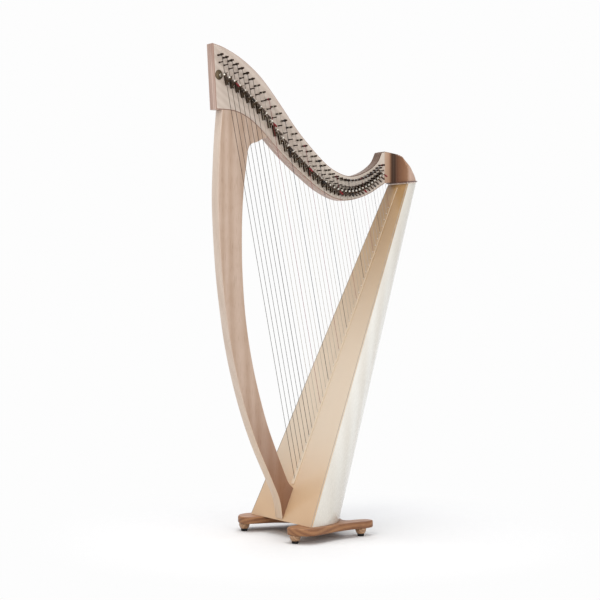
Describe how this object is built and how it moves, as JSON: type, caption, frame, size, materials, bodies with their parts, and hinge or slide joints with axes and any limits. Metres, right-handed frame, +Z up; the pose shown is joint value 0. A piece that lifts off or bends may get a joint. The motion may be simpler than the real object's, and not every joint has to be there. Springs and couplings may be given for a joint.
{
  "type": "lever harp",
  "caption": "Floor-standing wooden lever harp: curved pillar and neck, raked tapering soundbox with rounded back, footed base, strings, pins and turning sharping levers.",
  "frame": {"origin": "centre of the footprint of the harp's bounding box, on the floor", "axes": "+X from the pillar towards the soundbox and the player, +Y away from the string side of the neck, +Z up"},
  "size_m": [0.8012, 0.406, 1.58],
  "materials": {
    "maple_face": "satin varnished maple",
    "maple_pale": "satin varnished pale maple",
    "maple_brown": "satin brown maple",
    "stained_maple": "satin dark stained maple",
    "spruce": "satin varnished spruce",
    "ebony": "satin black",
    "rubber": "matte black",
    "wound_steel": "wound wire and nickel",
    "gut": "pale translucent cord",
    "dark_bronze": "dark bronze"
  },
  "bodies": {
    "harp_body": {"base_board": "stained_maple", "foot_cup_front_near": "maple_pale", "foot_cup_front_far": "maple_pale", "foot_cup_rear_near": "maple_pale", "foot_cup_rear_far": "maple_pale", "foot_pad_front_near": "rubber", "foot_pad_front_far": "rubber", "foot_pad_rear_near": "rubber", "foot_pad_rear_far": "rubber", "soundboard": "spruce", "string_rib": "maple_face", "soundbox_shell": "maple_pale", "bottom_panel": "maple_brown", "soundbox_brace": "maple_brown", "soundbox_cap": "maple_pale", "shoulder_plate": "ebony", "shoulder_block": "maple_brown", "neck": "maple_face", "pillar": "maple_face", "bass_wires": "wound_steel", "gut_strings": "gut", "nylon_strings": "gut"},
    "a1_lever": {"lever_a1": "dark_bronze"},
    "b1_lever": {"lever_b1": "dark_bronze"},
    "c2_lever": {"lever_c2": "dark_bronze"},
    "d2_lever": {"lever_d2": "dark_bronze"},
    "e2_lever": {"lever_e2": "dark_bronze"},
    "f2_lever": {"lever_f2": "dark_bronze"},
    "g2_lever": {"lever_g2": "dark_bronze"},
    "a2_lever": {"lever_a2": "dark_bronze"},
    "b2_lever": {"lever_b2": "dark_bronze"},
    "c3_lever": {"lever_c3": "dark_bronze"},
    "d3_lever": {"lever_d3": "dark_bronze"},
    "e3_lever": {"lever_e3": "dark_bronze"},
    "f3_lever": {"lever_f3": "dark_bronze"},
    "g3_lever": {"lever_g3": "dark_bronze"},
    "a3_lever": {"lever_a3": "dark_bronze"},
    "b3_lever": {"lever_b3": "dark_bronze"},
    "c4_lever": {"lever_c4": "dark_bronze"},
    "d4_lever": {"lever_d4": "dark_bronze"},
    "e4_lever": {"lever_e4": "dark_bronze"},
    "f4_lever": {"lever_f4": "dark_bronze"},
    "g4_lever": {"lever_g4": "dark_bronze"},
    "a4_lever": {"lever_a4": "dark_bronze"},
    "b4_lever": {"lever_b4": "dark_bronze"},
    "c5_lever": {"lever_c5": "dark_bronze"},
    "d5_lever": {"lever_d5": "dark_bronze"},
    "e5_lever": {"lever_e5": "dark_bronze"},
    "f5_lever": {"lever_f5": "dark_bronze"},
    "g5_lever": {"lever_g5": "dark_bronze"},
    "a5_lever": {"lever_a5": "dark_bronze"},
    "b5_lever": {"lever_b5": "dark_bronze"},
    "c6_lever": {"lever_c6": "dark_bronze"},
    "d6_lever": {"lever_d6": "dark_bronze"},
    "e6_lever": {"lever_e6": "dark_bronze"},
    "f6_lever": {"lever_f6": "dark_bronze"},
    "g6_lever": {"lever_g6": "dark_bronze"},
    "a6_lever": {"lever_a6": "dark_bronze"},
    "b6_lever": {"lever_b6": "dark_bronze"},
    "c7_lever": {"lever_c7": "dark_bronze"}
  },
  "joints": [
    {"name": "a1_turn", "type": "hinge", "parent": "harp_body", "child": "a1_lever", "pos_m": [-0.372, 0.014, 1.47951], "axis": [0, -1, 0], "range_deg": [0, 90]},
    {"name": "b1_turn", "type": "hinge", "parent": "harp_body", "child": "b1_lever", "pos_m": [-0.35319, 0.014, 1.47222], "axis": [0, -1, 0], "range_deg": [0, 90]},
    {"name": "c2_turn", "type": "hinge", "parent": "harp_body", "child": "c2_lever", "pos_m": [-0.33402, 0.014, 1.46263], "axis": [0, -1, 0], "range_deg": [0, 90]},
    {"name": "d2_turn", "type": "hinge", "parent": "harp_body", "child": "d2_lever", "pos_m": [-0.31429, 0.014, 1.44995], "axis": [0, -1, 0], "range_deg": [0, 90]},
    {"name": "e2_turn", "type": "hinge", "parent": "harp_body", "child": "e2_lever", "pos_m": [-0.29424, 0.014, 1.43519], "axis": [0, -1, 0], "range_deg": [0, 90]},
    {"name": "f2_turn", "type": "hinge", "parent": "harp_body", "child": "f2_lever", "pos_m": [-0.27412, 0.014, 1.41962], "axis": [0, -1, 0], "range_deg": [0, 90]},
    {"name": "g2_turn", "type": "hinge", "parent": "harp_body", "child": "g2_lever", "pos_m": [-0.25406, 0.014, 1.40386], "axis": [0, -1, 0], "range_deg": [0, 90]},
    {"name": "a2_turn", "type": "hinge", "parent": "harp_body", "child": "a2_lever", "pos_m": [-0.23386, 0.014, 1.38693], "axis": [0, -1, 0], "range_deg": [0, 90]},
    {"name": "b2_turn", "type": "hinge", "parent": "harp_body", "child": "b2_lever", "pos_m": [-0.21323, 0.014, 1.36745], "axis": [0, -1, 0], "range_deg": [0, 90]},
    {"name": "c3_turn", "type": "hinge", "parent": "harp_body", "child": "c3_lever", "pos_m": [-0.19168, 0.014, 1.34306], "axis": [0, -1, 0], "range_deg": [0, 90]},
    {"name": "d3_turn", "type": "hinge", "parent": "harp_body", "child": "d3_lever", "pos_m": [-0.16983, 0.014, 1.31668], "axis": [0, -1, 0], "range_deg": [0, 90]},
    {"name": "e3_turn", "type": "hinge", "parent": "harp_body", "child": "e3_lever", "pos_m": [-0.14832, 0.014, 1.2915], "axis": [0, -1, 0], "range_deg": [0, 90]},
    {"name": "f3_turn", "type": "hinge", "parent": "harp_body", "child": "f3_lever", "pos_m": [-0.12741, 0.014, 1.26873], "axis": [0, -1, 0], "range_deg": [0, 90]},
    {"name": "g3_turn", "type": "hinge", "parent": "harp_body", "child": "g3_lever", "pos_m": [-0.10755, 0.014, 1.25056], "axis": [0, -1, 0], "range_deg": [0, 90]},
    {"name": "a3_turn", "type": "hinge", "parent": "harp_body", "child": "a3_lever", "pos_m": [-0.08825, 0.014, 1.23463], "axis": [0, -1, 0], "range_deg": [0, 90]},
    {"name": "b3_turn", "type": "hinge", "parent": "harp_body", "child": "b3_lever", "pos_m": [-0.0692, 0.014, 1.21939], "axis": [0, -1, 0], "range_deg": [0, 90]},
    {"name": "c4_turn", "type": "hinge", "parent": "harp_body", "child": "c4_lever", "pos_m": [-0.05039, 0.014, 1.20483], "axis": [0, -1, 0], "range_deg": [0, 90]},
    {"name": "d4_turn", "type": "hinge", "parent": "harp_body", "child": "d4_lever", "pos_m": [-0.03184, 0.014, 1.19107], "axis": [0, -1, 0], "range_deg": [0, 90]},
    {"name": "e4_turn", "type": "hinge", "parent": "harp_body", "child": "e4_lever", "pos_m": [-0.01362, 0.014, 1.17837], "axis": [0, -1, 0], "range_deg": [0, 90]},
    {"name": "f4_turn", "type": "hinge", "parent": "harp_body", "child": "f4_lever", "pos_m": [0.00433, 0.014, 1.16653], "axis": [0, -1, 0], "range_deg": [0, 90]},
    {"name": "g4_turn", "type": "hinge", "parent": "harp_body", "child": "g4_lever", "pos_m": [0.022, 0.014, 1.15554], "axis": [0, -1, 0], "range_deg": [0, 90]},
    {"name": "a4_turn", "type": "hinge", "parent": "harp_body", "child": "a4_lever", "pos_m": [0.03932, 0.014, 1.14574], "axis": [0, -1, 0], "range_deg": [0, 90]},
    {"name": "b4_turn", "type": "hinge", "parent": "harp_body", "child": "b4_lever", "pos_m": [0.05605, 0.014, 1.13834], "axis": [0, -1, 0], "range_deg": [0, 90]},
    {"name": "c5_turn", "type": "hinge", "parent": "harp_body", "child": "c5_lever", "pos_m": [0.07217, 0.014, 1.13339], "axis": [0, -1, 0], "range_deg": [0, 90]},
    {"name": "d5_turn", "type": "hinge", "parent": "harp_body", "child": "d5_lever", "pos_m": [0.08788, 0.014, 1.12995], "axis": [0, -1, 0], "range_deg": [0, 90]},
    {"name": "e5_turn", "type": "hinge", "parent": "harp_body", "child": "e5_lever", "pos_m": [0.1032, 0.014, 1.1279], "axis": [0, -1, 0], "range_deg": [0, 90]},
    {"name": "f5_turn", "type": "hinge", "parent": "harp_body", "child": "f5_lever", "pos_m": [0.1181, 0.014, 1.12742], "axis": [0, -1, 0], "range_deg": [0, 90]},
    {"name": "g5_turn", "type": "hinge", "parent": "harp_body", "child": "g5_lever", "pos_m": [0.1326, 0.014, 1.12834], "axis": [0, -1, 0], "range_deg": [0, 90]},
    {"name": "a5_turn", "type": "hinge", "parent": "harp_body", "child": "a5_lever", "pos_m": [0.14668, 0.014, 1.13082], "axis": [0, -1, 0], "range_deg": [0, 90]},
    {"name": "b5_turn", "type": "hinge", "parent": "harp_body", "child": "b5_lever", "pos_m": [0.16028, 0.014, 1.13517], "axis": [0, -1, 0], "range_deg": [0, 90]},
    {"name": "c6_turn", "type": "hinge", "parent": "harp_body", "child": "c6_lever", "pos_m": [0.17365, 0.014, 1.14011], "axis": [0, -1, 0], "range_deg": [0, 90]},
    {"name": "d6_turn", "type": "hinge", "parent": "harp_body", "child": "d6_lever", "pos_m": [0.18679, 0.014, 1.14569], "axis": [0, -1, 0], "range_deg": [0, 90]},
    {"name": "e6_turn", "type": "hinge", "parent": "harp_body", "child": "e6_lever", "pos_m": [0.19966, 0.014, 1.15209], "axis": [0, -1, 0], "range_deg": [0, 90]},
    {"name": "f6_turn", "type": "hinge", "parent": "harp_body", "child": "f6_lever", "pos_m": [0.21226, 0.014, 1.1593], "axis": [0, -1, 0], "range_deg": [0, 90]},
    {"name": "g6_turn", "type": "hinge", "parent": "harp_body", "child": "g6_lever", "pos_m": [0.22467, 0.014, 1.16695], "axis": [0, -1, 0], "range_deg": [0, 90]},
    {"name": "a6_turn", "type": "hinge", "parent": "harp_body", "child": "a6_lever", "pos_m": [0.23685, 0.014, 1.17522], "axis": [0, -1, 0], "range_deg": [0, 90]},
    {"name": "b6_turn", "type": "hinge", "parent": "harp_body", "child": "b6_lever", "pos_m": [0.24882, 0.014, 1.18403], "axis": [0, -1, 0], "range_deg": [0, 90]},
    {"name": "c7_turn", "type": "hinge", "parent": "harp_body", "child": "c7_lever", "pos_m": [0.26061, 0.014, 1.19323], "axis": [0, -1, 0], "range_deg": [0, 90]}
  ]
}
